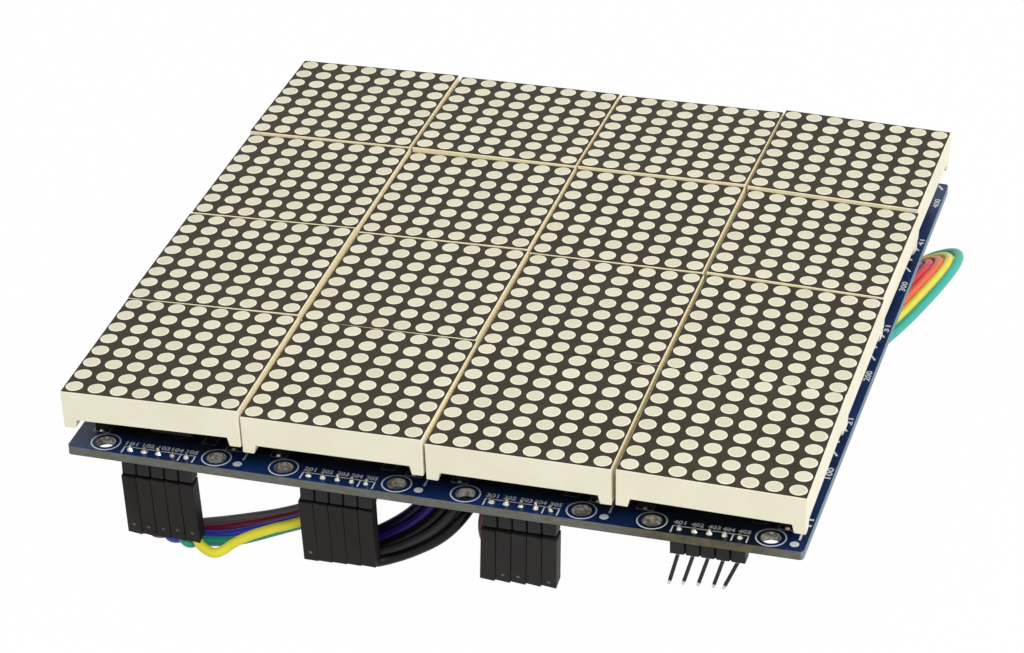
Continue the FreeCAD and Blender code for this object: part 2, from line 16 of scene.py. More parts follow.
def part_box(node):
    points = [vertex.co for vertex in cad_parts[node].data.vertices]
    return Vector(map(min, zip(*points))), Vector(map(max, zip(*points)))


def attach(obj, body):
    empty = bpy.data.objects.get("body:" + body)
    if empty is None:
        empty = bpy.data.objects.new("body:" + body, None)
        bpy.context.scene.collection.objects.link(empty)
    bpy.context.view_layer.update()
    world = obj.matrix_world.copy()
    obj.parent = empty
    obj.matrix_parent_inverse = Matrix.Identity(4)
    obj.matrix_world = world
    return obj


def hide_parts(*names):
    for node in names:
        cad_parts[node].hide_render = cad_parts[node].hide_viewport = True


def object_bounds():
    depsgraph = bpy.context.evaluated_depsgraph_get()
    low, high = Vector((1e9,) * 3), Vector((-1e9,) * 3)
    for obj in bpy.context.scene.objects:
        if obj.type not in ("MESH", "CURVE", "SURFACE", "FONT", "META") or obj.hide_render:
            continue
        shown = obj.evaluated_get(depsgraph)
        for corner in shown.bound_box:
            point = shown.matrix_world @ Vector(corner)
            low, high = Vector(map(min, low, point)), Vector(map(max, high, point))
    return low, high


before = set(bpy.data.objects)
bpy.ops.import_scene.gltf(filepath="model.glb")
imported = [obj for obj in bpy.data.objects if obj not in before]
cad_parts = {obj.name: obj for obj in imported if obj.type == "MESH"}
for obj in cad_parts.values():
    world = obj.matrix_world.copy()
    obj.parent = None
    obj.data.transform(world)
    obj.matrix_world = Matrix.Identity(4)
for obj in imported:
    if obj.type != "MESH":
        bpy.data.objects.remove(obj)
cad_low, cad_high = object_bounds()
MM = 0.001
STRIPS = (1, 2, 3, 4)
ROWS = (1, 2, 3, 4)
WAYS = 5
print("solid model in mm:", [round((high - low) / MM, 1) for low, high in zip(cad_low, cad_high)])

# %% [markdown]
# The camera stands where the photographer's did: in front of the panel, a little to its right and well
# above it. A camera can be set by eye, but its place, turn and lens were solved from the corners of the
# modules. The long lens stands for a photographer who stepped back, and keeps the panel's sides nearly
# parallel.

# %% Camera
CAMERA_PLACE = Vector((166.67, -563.98, 348.25)) * MM
CAMERA_TURN = [math.radians(angle) for angle in (59.206, 1.082, 16.168)]
LENS = 133.4
SENSOR_WIDTH = 36.0
CLIP_START = 0.01

camera_data = bpy.data.cameras.new("camera")
camera_data.lens = LENS
camera_data.sensor_width = SENSOR_WIDTH
camera_data.sensor_fit = "HORIZONTAL"
camera_data.clip_start = CLIP_START
camera = bpy.data.objects.new("camera", camera_data)
camera.location = CAMERA_PLACE
camera.rotation_euler = CAMERA_TURN
bpy.context.scene.collection.objects.link(camera)
bpy.context.scene.camera = camera
print("camera %.0f mm from the panel" % (CAMERA_PLACE.length / MM))

# %% [markdown]
# A jumper wire is soft insulated wire with a crimped end in a plug at each side. The five wires of a
# ribbon keep their order from plug to plug, so a route is written as the way of the first wire and of
# the fifth, and the others lie evenly between them. The points are control points of a smooth spline of
# the third order, which cuts the corners as real wire does. A simulation would drape the wires in its own
# way, and the photograph shows one certain way, so they are laid one by one.

# %% Routes of the wires
# the wires' diameter in the solids, and the thickness that the photograph shows
WIRE_DIAMETER = 1.5
LOOK_DIAMETER = {"first": 1.75, "second": 1.9, "third": 1.75}
FIRST_ROUTE = [
    ((-54.04, -59.92, -13.8), (-43.45, -59.92, -13.8)),
    ((-54.26, -59.2, -16.9), (-43.64, -59.2, -17.2)),
    ((-53.27, -57.7, -17.6), (-41.92, -60.44, -18.2)),
    ((-50.31, -55.24, -18.2), (-41.43, -58.94, -18.2)),
    ((-44.96, -52.76, -18.2), (-38.75, -59.19, -18.2)),
    ((-39.3, -52.68, -16.72), (-34.61, -59.05, -17.41)),
    ((-28.54, -52.17, -13.57), (-26.14, -58.92, -12.81)),
    ((-19.22, -51.71, -8.75), (-15.68, -58.3, -9.0)),
    ((-15.6, -50.0, -4.9), (-10.4, -56.0, -5.2)),
    ((-15.0, -42.0, -3.6), (-8.8, -45.0, -3.8)),
    ((-18.8, -29.0, -5.4), (-10.6, -31.5, -5.0)),
    ((-30.0, -12.0, -9.5), (-21.4, -13.8, -9.5)),
    ((-38.6, 9.0, -11.5), (-30.6, 9.0, -11.5)),
    ((-34.6, 29.5, -10.0), (-25.6, 31.5, -10.0)),
    ((-26.2, 42.6, -12.5), (-16.8, 44.8, -12.5)),
    ((-21.7, 50.8, -15.6), (-11.8, 51.6, -15.6)),
    ((-21.2, 56.2, -18.1), (-10.9, 56.2, -18.1)),
    ((-21.16, 59.5, -18.2), (-10.84, 59.5, -18.2)),
    ((-21.16, 60.4, -16.9), (-10.84, 60.4, -16.9)),
    ((-21.16, 60.84, -13.8), (-10.84, 60.84, -13.8)),
]
STRAY_ROUTE = [
    (-43.45, -59.92, -13.8), (-43.66, -59.2, -17.4), (-41.4, -60.75, -18.0), (-38.94, -61.43, -18.18),
    (-35.8, -59.4, -15.83), (-29.55, -59.4, -12.48), (-25.02, -58.59, -11.13), (-16.04, -58.09, -6.49),
    (-9.4, -57.4, -3.0), (-9.4, -47.5, -1.9), (-7.4, -33.0, -3.6), (-20.9, -14.4, -9.5),
    (-28.6, 9.0, -11.5), (-24.6, 31.9, -10.0), (-15.6, 45.4, -12.5), (-11.4, 51.6, -15.6),
    (-10.9, 56.2, -18.1), (-10.84, 59.5, -18.2), (-10.84, 60.4, -16.9), (-10.84, 60.84, -13.8),
]
SECOND_ROUTE = [
    ((-22.05, -59.92, -13.8), (-11.8, -59.92, -13.8)),
    ((-22.22, -59.15, -16.9), (-12.04, -59.15, -16.7)),
    ((-19.49, -54.95, -17.4), (-9.74, -57.1, -17.05)),
    ((-13.15, -52.32, -15.08), (-5.35, -56.05, -15.38)),
    ((-6.98, -51.77, -10.68), (0.22, -55.6, -11.73)),
    ((-3.6, -51.0, -6.4), (3.9, -54.0, -7.4)),
    ((-1.6, -45.0, -3.7), (5.9, -47.0, -4.0)),
    ((6.0, -32.0, -5.5), (12.0, -36.5, -5.5)),
    ((22.0, -18.5, -11.5), (27.2, -24.4, -11.5)),
    ((38.0, 2.0, -13.2), (45.4, -1.4, -13.2)),
    ((37.0, 24.0, -12.0), (44.6, 27.4, -12.0)),
    ((22.0, 40.0, -12.0), (28.6, 44.8, -12.0)),
    ((13.6, 49.8, -15.4), (22.8, 52.2, -15.4)),
    ((11.3, 56.2, -18.1), (21.46, 56.2, -18.1)),
    ((10.84, 59.5, -18.2), (21.16, 59.5, -18.2)),
    ((10.84, 60.4, -16.9), (21.16, 60.4, -16.9)),
    ((10.84, 60.84, -13.8), (21.16, 60.84, -13.8)),
]
THIRD_ROUTE = [
    ((9.35, -58.83, -13.6), (19.74, -58.53, -13.6)),
    ((8.96, -57.7, -16.6), (19.35, -57.3, -16.6)),
    ((8.3, -55.6, -17.6), (18.9, -54.9, -17.6)),
    ((8.1, -54.6, -14.0), (16.8, -52.2, -15.0)),
    ((6.4, -54.6, -9.0), (14.8, -51.6, -10.6)),
    ((7.7, -52.2, -3.8), (16.0, -49.6, -6.4)),
    ((13.4, -42.5, -3.4), (20.0, -45.1, -4.2)),
    ((25.0, -28.5, -4.4), (30.0, -33.1, -5.0)),
    ((41.4, -9.0, -5.2), (46.0, -14.0, -6.8)),
    ((51.2, 10.0, -5.4), (56.2, 6.8, -7.8)),
    ((57.0, 27.0, -5.6), (62.2, 24.6, -8.2)),
    ((60.3, 41.15, -6.14), (65.68, 38.37, -8.52)),
    ((62.12, 48.2, -7.4), (68.5, 52.42, -8.55)),
    ((61.01, 50.4, -9.4), (67.39, 59.19, -9.72)),
    ((56.55, 51.5, -12.4), (61.69, 61.12, -12.74)),
    ((49.44, 51.87, -16.7), (57.16, 61.0, -16.86)),
    ((44.48, 53.88, -18.17), (54.57, 61.06, -18.2)),
    ((42.84, 60.35, -17.4), (53.14, 60.45, -17.3)),
    ((42.84, 60.84, -13.8), (53.16, 60.84, -13.8)),
]
print("routes of", len(FIRST_ROUTE), len(SECOND_ROUTE), len(THIRD_ROUTE), "points")

# %% [markdown]
# Fifteen routes written by hand would kink wherever two wires differ by accident, so the inner wires are
# laid evenly between the two outer ones. Only the last wire of the first ribbon strays from its row, and
# has a route of its own.

# %% Ribbons
def lanes(steps, count):
    """Routes of the first wires of a ribbon of five, evenly spaced between its two outer ones."""
    routes = []
    for lane in range(count):
        share = lane / (WAYS - 1)
        routes.append([Vector(first).lerp(Vector(last), share) for first, last in steps])
    return routes


# Ribbon, its routes, its real length in metres and the colour of each wire
RIBBONS = [
    ("first", lanes(FIRST_ROUTE, WAYS - 1) + [[Vector(point) for point in STRAY_ROUTE]], 0.173,
     ["grey", "purple", "blue", "green", "yellow"]),
    ("second", lanes(SECOND_ROUTE, WAYS), 0.167, ["navy", "violet", "black", "charcoal", "brown"]),
    ("third", lanes(THIRD_ROUTE, WAYS), 0.166, ["brown", "red", "orange", "yellow", "green"]),
]
print({ribbon: len(routes) for ribbon, routes, length, colours in RIBBONS})

# %% [markdown]
# Each wire is one open curve with a round bevel. A mesh tube would show its facets and its corners, and a
# curve stays smooth with few points. Order 3 and the end points are set after the points, because set
# before they would leave straight runs. The thickness is in the radius of the points, and the bevel itself
# is one metre, because a curve's box in Blender is its points with their radii around them.

# %% Wires
WIRE_STEPS = 7
WIRE_BEVEL = 3


def wire_curve(name, route, thick):
    """A smooth wire through its control points. Points and thickness are in millimetres."""
    curve = bpy.data.curves.new(name, "CURVE")
    curve.dimensions = "3D"
    curve.bevel_depth = 1.0
    curve.bevel_resolution = WIRE_BEVEL
    curve.resolution_u = WIRE_STEPS
    curve.use_fill_caps = True
    spline = curve.splines.new("NURBS")
    spline.points.add(len(route) - 1)
    for control, point in zip(spline.points, route):
        control.co = (*(point * MM), 1)
        control.radius = thick / 2 * MM
    spline.order_u = 3
    spline.use_endpoint_u = True
    spline.use_smooth = True
    wire = bpy.data.objects.new(name, curve)
    bpy.context.scene.collection.objects.link(wire)
    return wire


wires = {}
for ribbon, routes, length, colours in RIBBONS:
    for tint, route in zip(colours, routes):
        wire = wire_curve("jumper_%s_%s" % (ribbon, tint), route, LOOK_DIAMETER[ribbon])
        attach(wire, "root")
        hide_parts("wire_%s_%s" % (ribbon, tint))
        "wire_" + tint
        tuple(route[0] * MM)
        wires[ribbon, tint] = wire
print(len(wires), "wires laid")

# %% [markdown]
# Shader maths reads best as sums. Written node by node, a simple mask takes a dozen lines that nobody can
# read back. A Field wraps the output of one node, and Python's own operators on it add the Math nodes,
# also where a number comes first, as in 1 - mask.

# %% Fields
class Field:
    """A value that changes over a surface: the output of one node."""

    def __init__(self, nodes, socket):
        self.nodes = nodes
        self.socket = socket

    def __add__(self, other):
        return self.nodes.math("ADD", self, other)

    def __sub__(self, other):
        return self.nodes.math("SUBTRACT", self, other)

    def __rsub__(self, other):
        return self.nodes.math("SUBTRACT", other, self)

    def __mul__(self, other):
        return self.nodes.math("MULTIPLY", self, other)

    def __gt__(self, other):
        return self.nodes.math("GREATER_THAN", self, other)

    def __lt__(self, other):
        return self.nodes.math("LESS_THAN", self, other)

    def __abs__(self):
        return self.nodes.math("ABSOLUTE", self)

    __radd__ = __add__
    __rmul__ = __mul__


# %% [markdown]
# A material is a tree of nodes, and so is the world. One method adds a node of any kind: it makes the
# node, sets it up, fills or links its sockets and hands its output back as a Field. The short methods
# under it are the few nodes that both kinds of tree need.

# %% Node trees
class Nodes:
    """A node tree, and one method that adds any node to it."""

    def __init__(self, tree):
        self.tree = tree

    def add(self, kind, settings, sockets, output=0):
        """A node of any kind: its settings are set first, then its sockets are filled or linked."""
        made = self.tree.nodes.new(kind)
        for name, value in settings.items():
            setattr(made, name, value)
        for socket, value in sockets.items():
            if isinstance(value, Field):
                self.tree.links.new(value.socket, made.inputs[socket])
            else:
                made.inputs[socket].default_value = value
        return Field(self, made.outputs[output])

    def math(self, operation, first, second=0.0):
        return self.add("ShaderNodeMath", {"operation": operation}, {0: first, 1: second})

    def larger(self, first, second):
        return self.math("MAXIMUM", first, second)

    def between(self, field, low, high):
        """0 below low, 1 above high and even in between."""
        return self.add("ShaderNodeMapRange", {}, {"Value": field, "From Min": low, "From Max": high})

    def looked_at(self):
        """1 for rays from the camera, off a gloss or through a clear body, 0 for those that light."""
        camera_ray, glossy_ray, clear_ray = [
            self.add("ShaderNodeLightPath", {}, {}, "Is %s Ray" % kind)
            for kind in ("Camera", "Glossy", "Transmission")]
        return self.larger(camera_ray, self.larger(glossy_ray, clear_ray))


# %% [markdown]
# A Finish is one material with its Principled shader. What changes over a surface goes to colour,
# roughness, metal or bump, and the rest are plain numbers on the shader. Patterns read the Object
# coordinates. The pieces sit at the origin, so these are real places on the panel, and a noise keeps its
# size in millimetres on every piece.

# %% Finishes
class Finish(Nodes):
    """A material: its Principled shader and the nodes that feed it."""

    def __init__(self, name, **numbers):
        self.material = bpy.data.materials.new(name)
        self.material.use_nodes = True
        super().__init__(self.material.node_tree)
        self.shader = self.tree.nodes["Principled BSDF"]
        for socket, value in numbers.items():
            self.shader.inputs[socket.replace("_", " ")].default_value = value

    def place(self):
        return self.add("ShaderNodeTexCoord", {}, {}, "Object")

    def part(self, vector, axis):
        return self.add("ShaderNodeSeparateXYZ", {}, {0: vector}, axis)

    def facing(self, axis):
        return self.part(self.add("ShaderNodeTexCoord", {}, {}, "Normal"), axis)

    def within(self, half):
        """1 inside a square about the middle of the panel and 0 outside it."""
        place = self.place()
        return (abs(self.part(place, "X")) < half) * (abs(self.part(place, "Y")) < half)

    def attribute(self, name):
        """A value that comes with the points of the mesh."""
        return self.add("ShaderNodeAttribute", {"attribute_name": name}, {}, "Fac")

    def noise(self, grain_mm, detail=3.0, stretch=(1, 1, 1)):
        """Soft noise whose grains are about so many millimetres across."""
        vector = self.add("ShaderNodeMapping", {}, {"Vector": self.place(), "Scale": stretch})
        return self.add("ShaderNodeTexNoise", {}, {"Vector": vector, "Scale": 1 / (grain_mm * MM),
                                                   "Detail": detail})

    def mix(self, share, first, second):
        """A colour between two others."""
        return self.add("ShaderNodeMix", {"data_type": "RGBA"}, {0: share, 6: first, 7: second}, 2)

    def feed(self, socket, field):
        self.tree.links.new(field.socket, self.shader.inputs[socket])

    def uneven_gloss(self, field, roughness, spread):
        """A roughness that wanders about its middle value."""
        self.feed("Roughness", field * spread + (roughness - spread / 2))

    def bump(self, height, depth_mm, strength=1.0):
        self.feed("Normal", self.add("ShaderNodeBump", {}, {"Height": height, "Distance": depth_mm * MM,
                                                            "Strength": strength}))


def colour(red, green, blue):
    """A colour written as a screen shows it, from 0 to 255, turned into the shader's linear numbers."""
    return tuple(((v / 255 + 0.055) / 1.055) ** 2.4 for v in (red, green, blue)) + (1.0,)


# %% [markdown]
# A product photograph on white has soft light from all around. The world gives it. Light strong enough to
# burn the background to white would bleach the panel too, so the Light Path node parts the two: what the
# camera, a reflection or a clear body looks at is white, and what lights the panel is a plain level.

# %% World
WORLD_LEVEL = 0.76
WORLD_TINT = (1.0, 0.995, 0.985, 1)

world = bpy.data.worlds.new("studio")
world.use_nodes = True
bpy.context.scene.world = world
sky = Nodes(world.node_tree)
level = sky.add("ShaderNodeMapRange", {}, {"Value": sky.looked_at(), "To Min": WORLD_LEVEL, "To Max": 1.0})
background = sky.tree.nodes["Background"]
background.inputs["Color"].default_value = WORLD_TINT
sky.tree.links.new(level.socket, background.inputs["Strength"])
bpy.context.scene.view_settings.view_transform = "Standard"
print("the world lights the panel at a level of", WORLD_LEVEL)

# %% [markdown]
# One broad lamp over the right shoulder gives the housings a lighter and a darker side. A small lamp would
# draw hard shadows between the modules, so this one is as wide as a studio's soft box.

# %% Key lamp
KEY_PLACE = Vector((0.75, -0.45, 0.95))
KEY_SIZE = 0.7
KEY_POWER = 9.0

lamp_data = bpy.data.lights.new("key_lamp", "AREA")
lamp_data.energy = KEY_POWER
lamp_data.size = KEY_SIZE
lamp = bpy.data.objects.new("key_lamp", lamp_data)
lamp.location = KEY_PLACE
lamp.rotation_euler = (-KEY_PLACE).to_track_quat("-Z", "Y").to_euler()
bpy.context.scene.collection.objects.link(lamp)
print("key lamp %.2f m from the panel" % KEY_PLACE.length)

# %% [markdown]
# The panel stands on its wires and plugs on a white table. The floor glows white where it is looked at,
# as the world does. Only under the board, where no light gets in, it keeps its own shade, in a patch with
# soft sides. Through the mounting holes that shade shows as dark crescents.

# %% Floor
FLOOR_SIDE = 12.0
FLOOR_GLOW = 0.985
FLOOR_PAINT = (0.82, 0.82, 0.81, 1)
SHADE_MIDDLE = -10.0
SHADE_HALF = 44.0
SHADE_SOFT = 12.0
SHADE_FRONT = (-36.3, -34.3)
SHADE_BACK = (-30.0, 25.0)

floor_mesh = bpy.data.meshes.new("floor")
floor_shape = bmesh.new()
bmesh.ops.create_grid(floor_shape, x_segments=1, y_segments=1, size=FLOOR_SIDE / 2)
floor_level = cad_low[2] - (LOOK_DIAMETER["first"] - WIRE_DIAMETER) / 2 * MM
bmesh.ops.translate(floor_shape, verts=floor_shape.verts, vec=(0, 0, floor_level))
floor_shape.to_mesh(floor_mesh)
floor_shape.free()
floor = bpy.data.objects.new("floor", floor_mesh)
bpy.context.scene.collection.objects.link(floor)

white = Finish("white_floor")
spot = white.place()
aside = abs(white.part(spot, "X") - SHADE_MIDDLE * MM)
beyond = white.part(spot, "Y")
past_sides = white.between(aside, SHADE_HALF * MM, (SHADE_HALF + SHADE_SOFT) * MM)
before_front = 1 - white.between(beyond, SHADE_FRONT[0] * MM, SHADE_FRONT[1] * MM)
past_back = white.between(beyond, SHADE_BACK[0] * MM, SHADE_BACK[1] * MM)
lit = white.larger(white.larger(past_sides, before_front), past_back)
paint = white.add("ShaderNodeBsdfDiffuse", {}, {"Color": FLOOR_PAINT})
glow = white.add("ShaderNodeEmission", {}, {"Color": (1, 1, 1, 1), "Strength": 1.0})
blend = white.add("ShaderNodeMixShader", {}, {0: white.looked_at() * lit * FLOOR_GLOW, 1: paint, 2: glow})
white.tree.links.new(blend.socket, white.tree.nodes["Material Output"].inputs["Surface"])
white.tree.nodes.remove(white.shader)
floor_mesh.materials.append(white.material)
print("floor %.2f mm under the board" % (-floor_level / MM))

# %% [markdown]
# Moulded plastic is never one flat colour. Its tone drifts a little over a few millimetres, and the mould
# leaves a fine grain that dents it and dulls its gloss. One function makes all the plastics from two close
# tones, a grain and a gloss. The face of a module is a thin printed coat, dark and nearly dull.

# %% Plastic finishes
TONE_GRAIN = 9.0
TONE_LIMITS = (0.35, 0.65)
GLOSS_SPREAD = 0.14


def mould_surface(finish, grain_mm, depth_mm, roughness):
    grain = finish.noise(grain_mm, 4.0)
    finish.uneven_gloss(grain, roughness, GLOSS_SPREAD)
    finish.bump(grain, depth_mm)


def two_tones(finish, dark, light):
    """Two close tones in soft patches."""
    return finish.mix(finish.between(finish.noise(TONE_GRAIN, 2.0), *TONE_LIMITS), dark, light)


def moulded(name, light, dark, roughness, grain_mm, depth_mm, shine):
    """A moulded plastic: two close tones, a fine grain and a gloss that is not quite even."""
    finish = Finish(name, Specular_IOR_Level=shine)
    finish.feed("Base Color", two_tones(finish, colour(*dark), colour(*light)))
    mould_surface(finish, grain_mm, depth_mm, roughness)
    return finish.material


# light and dark tone, roughness, size and depth of the grain in millimetres, and gloss
PLASTICS = {
    "face_print": ((54, 47, 33), (46, 40, 28), 0.55, 0.2, 0.004, 0.18),
    # the sockets are black plastic, painted darker still as painted shade under the modules
    "socket_plastic_shaded": ((20, 18, 17), (14, 12, 12), 0.6, 0.3, 0.008, 0.2),
    "header_plastic": ((31, 30, 30), (24, 23, 23), 0.5, 0.3, 0.008, 0.25),
    "plug_plastic": ((29, 26, 24), (23, 20, 18), 0.55, 0.3, 0.01, 0.17),
    # the marks' lighter grey is a painted highlight on their low domes
    "plug_mark_glint": ((92, 92, 94), (56, 56, 58), 0.4, 0.2, 0.01, 0.5),
    "chip_body": ((44, 43, 42), (36, 35, 34), 0.6, 0.15, 0.006, 0.5),
    "ceramic_body": ((176, 146, 112), (160, 130, 98), 0.5, 0.2, 0.004, 0.5),
}
FACE, SOCKET, HEADER, PLUG, MARK_GLINT, CHIP, CERAMIC = [moulded(name, *look) for name, look in PLASTICS.items()]
print(len(PLASTICS), "plastics mixed")

# %% [markdown]
# The housings are cream. Light that gets into the narrow gap between two modules goes to and fro between
# their walls and comes out warm, more than a renderer's few bounces show. A warmer colour on the inner
# walls gives it back.

# %% Cream plastic
INNER_HALF = 62.0


def cream_finish():
    """The housings' plastic, warmer on the walls between two modules."""
    finish = Finish("cream_housing", Specular_IOR_Level=0.5)
    outer = two_tones(finish, colour(231, 226, 201), colour(236, 231, 208))
    finish.feed("Base Color", finish.mix(finish.within(INNER_HALF * MM), outer, colour(245, 234, 198)))
    mould_surface(finish, grain_mm=0.35, depth_mm=0.006, roughness=0.42)
    return finish.material


CREAM = cream_finish()
print("cream is warmer within %.0f mm of the middle" % INNER_HALF)

# %% [markdown]
# A dot is a window of milky potting in the face. Its colour is darker in the middle, a painted shade where
# light goes down to the chip, and pale at the rim, a painted highlight, and no two are quite alike. The rim
# highlight and the tone are written on the points of the mesh, because no noise in space could know where a
# dot begins.

# %% Lens finish
def lens_finish():
    """The potting in a dot: its painted rim highlight and its own tone come with the mesh."""
    finish = Finish("dot_lens", Roughness=0.38)
    middle = finish.mix(finish.attribute("tone"), colour(208, 203, 176), colour(217, 213, 188))
    # painted highlight: the rim is painted paler than the middle
    finish.feed("Base Color", finish.mix(finish.attribute("rim_highlight"), middle, colour(240, 238, 218)))
    finish.bump(finish.noise(0.5, 3.0), 0.01)
    return finish.material


LENS_FINISH = lens_finish()
print("lens finish mixed")

# %% [markdown]
# The board is glass cloth and resin under a glossy blue solder mask. The mask is only on its two faces.
# The sawn edge shows the grey-green laminate in fine layers, and the holes are plated. One material does
# all of it: the way a face looks tells mask from edge, and its place tells edge from hole. The board is
# darker and browner about the bare header, and under the modules, where no light gets in, the mask is
# painted near black as painted shade.

# %% Board finish
HALF_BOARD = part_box("board")[1][0]
EDGE_SKIN = 0.2 * MM
PAINTED_SHADE_SIDES = (60.5 * MM, 62.5 * MM)
PAINTED_SHADE_ENDS = (57.5 * MM, 61.2 * MM)
BARE_HEADER_PLACE = (46.6 * MM, -64.0 * MM)
BARE_HEADER_REACH = (8.5 * MM, 14.5 * MM)


def uncovered(finish):
    """1 on the free margins of the board and 0 under the modules, where shade is painted."""
    place = finish.place()
    sides = finish.between(abs(finish.part(place, "X")), *PAINTED_SHADE_SIDES)
    ends = finish.between(abs(finish.part(place, "Y")), *PAINTED_SHADE_ENDS)
    return finish.larger(sides, ends)


def mask_colour(finish, near_bare_header):
    """The blue solder mask, clouded, with painted shade under the modules, and darker about the bare header.
    """
    cloud = finish.between(finish.noise(14.0, 3.0), 0.3, 0.7)
    blue = finish.mix(cloud, colour(5, 28, 70), colour(13, 48, 102))
    # painted shade: the mask is painted near black under the modules
    blue = finish.mix(uncovered(finish), colour(3, 8, 22), blue)
    return finish.mix(near_bare_header * 0.92, blue, colour(3, 16, 26))


def laminate_colour(finish, near_bare_header):
    """The sawn edge: blotched resin in layers, browner and blotched about the bare header, and painted light
    on the right-facing side, which is painted a lighter blue-grey.
    """
    layers = finish.between(finish.noise(0.3, 3.0, (0.15, 0.15, 1)), 0.3, 0.7)
    blotch = finish.between(finish.noise(2.2, 3.0), 0.42, 0.66)
    resin = finish.mix(blotch, colour(84, 88, 84), colour(84, 78, 60))
    resin = finish.mix(near_bare_header * 0.8, resin, finish.mix(blotch, colour(62, 60, 46), colour(96, 86, 58)))
    laminate = finish.mix(layers * (1 - near_bare_header) * 0.6, resin, colour(116, 122, 116))
    # painted light: the right-facing edge is painted a lighter blue-grey than the others
    return finish.mix(finish.facing("X") > 0.5, laminate, colour(100, 128, 144))


def board_finish():
    finish = Finish("solder_mask", Specular_IOR_Level=0.3)
    place = finish.place()
    # the mask and the edge are darker and browner about the bare header, fading out from there
    about = abs(finish.part(place, "X") - BARE_HEADER_PLACE[0]) + (finish.part(place, "Y") - BARE_HEADER_PLACE[1])
    near_bare_header = 1 - finish.between(about, *BARE_HEADER_REACH)
    stain = finish.between(finish.noise(0.7, 4.0), 0.4, 0.62)
    plating = finish.mix(stain, colour(92, 88, 76), colour(178, 174, 162))
    upright = finish.mix(finish.within(HALF_BOARD - EDGE_SKIN), laminate_colour(finish, near_bare_header), plating)
    flat = abs(finish.facing("Z")) > 0.5
    finish.feed("Base Color", finish.mix(flat, upright, mask_colour(finish, near_bare_header)))
    finish.feed("Roughness", 0.5 - flat * 0.15)
    finish.bump(finish.noise(0.4, 3.0), 0.01)
    return finish.material


BOARD = board_finish()
print("board half width %.1f mm" % (HALF_BOARD / MM))

# %% [markdown]
# Solder and pins are bright tin that has dulled a little, so one cloud drives tone, roughness and bump. The
# bare pins are painted dark along their sides, a painted reflection of a dark room, and their ends and roots
# carry painted highlights. The white legend is a thick ink, painted grey where the modules keep it in the
# dark.

# %% Metal and ink
TIN_SPREAD = 0.2


def tinned(name, bright, dull, roughness):
    finish = Finish(name, Metallic=1.0)
    cloud = finish.noise(0.8, 3.0)
    finish.feed("Base Color", finish.mix(cloud, colour(*dull), colour(*bright)))
    finish.uneven_gloss(cloud, roughness, TIN_SPREAD)
    finish.bump(cloud, 0.02)
    return finish.material


def pin_finish():
    """A square pin: shiny sides painted dark as a painted reflection, and painted highlights at its tapered
    end and its root.
    """
    finish = Finish("pin_metal", Metallic=0.8, Roughness=0.26)
    cloud = finish.noise(0.8, 3.0)
    # painted reflection: the sides are painted dark
    side = finish.mix(cloud, colour(34, 32, 31), colour(62, 59, 57))
    # the bright value is a painted highlight on the tips and roots
    finish.feed("Base Color", finish.mix(finish.attribute("bright"), side, colour(210, 208, 200)))
    finish.bump(cloud, 0.02)
    return finish.material


def ink_finish():
    finish = Finish("legend_ink", Roughness=0.6, Specular_IOR_Level=0.3)
    tone = finish.mix(finish.noise(0.6, 3.0), colour(196, 201, 208), colour(220, 225, 232))
    # painted shade: the ink is painted grey under the modules
    finish.feed("Base Color", finish.mix(uncovered(finish), colour(84, 88, 94), tone))
    return finish.material


SOLDER = tinned("solder", (236, 234, 226), (188, 184, 174), 0.28)
PLAIN_PIN = tinned("matrix_pin", (150, 147, 142), (110, 107, 102), 0.35)
PIN = pin_finish()
INK = ink_finish()
print("solder, pins and ink mixed")

# %% [markdown]
# A wire's insulation is soft, slightly waxy plastic. Every wire has its own tone, because two wires of one
# colour name are never the same in two ribbons. The second ribbon is duller than the others.

# %% Insulation
INSULATION_GLOSS = {"first": 0.45, "second": 0.22, "third": 0.45}
INSULATION = {
    ("first", "grey"): (120, 116, 110), ("first", "purple"): (122, 22, 66), ("first", "blue"): (46, 62, 196),
    ("first", "green"): (24, 156, 128), ("first", "yellow"): (240, 232, 50),
    ("second", "navy"): (20, 16, 54), ("second", "violet"): (50, 24, 116), ("second", "black"): (12, 11, 11),
    ("second", "charcoal"): (62, 60, 62), ("second", "brown"): (16, 11, 10),
    ("third", "brown"): (106, 30, 42), ("third", "red"): (222, 50, 78), ("third", "orange"): (246, 112, 70),
    ("third", "yellow"): (244, 236, 84), ("third", "green"): (50, 184, 164),
}
DARKER = 0.88


def insulation(ribbon, name):
    finish = Finish("insulation_%s_%s" % (ribbon, name), Specular_IOR_Level=INSULATION_GLOSS[ribbon])
    tone = INSULATION[ribbon, name]
    cloud = finish.noise(3.0, 2.0)
    finish.feed("Base Color", finish.mix(cloud, colour(*[v * DARKER for v in tone]), colour(*tone)))
    finish.uneven_gloss(cloud, 0.36, 0.12)
    finish.bump(finish.noise(0.5, 2.0), 0.01)
    return finish.material


for (ribbon, name), wire in wires.items():
    wire.data.materials.append(insulation(ribbon, name))
print(len(INSULATION), "tones of insulation")

# %% [markdown]
# Rounded edges are what makes a moulded piece look moulded: each one catches a thin line of light. A Bevel
# modifier on a CAD node would stumble over its loose triangles, and the node itself must stay as it is. So
# a copy is merged, its flat faces are made whole again, and every sharp edge gets a small bevel. The copy
# lies where its node lies and replaces it.

# %% Copies with rounded edges
MERGE = 0.001 * MM
FLAT = math.radians(0.5)
SHARP = math.radians(20)


def merged(node):
    """A bmesh of a CAD node with its triangles joined up."""
    shape = bmesh.new()
    shape.from_mesh(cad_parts[node].data)
    bmesh.ops.remove_doubles(shape, verts=shape.verts, dist=MERGE)
    bmesh.ops.dissolve_limit(shape, angle_limit=FLAT, verts=shape.verts, edges=shape.edges)
    return shape


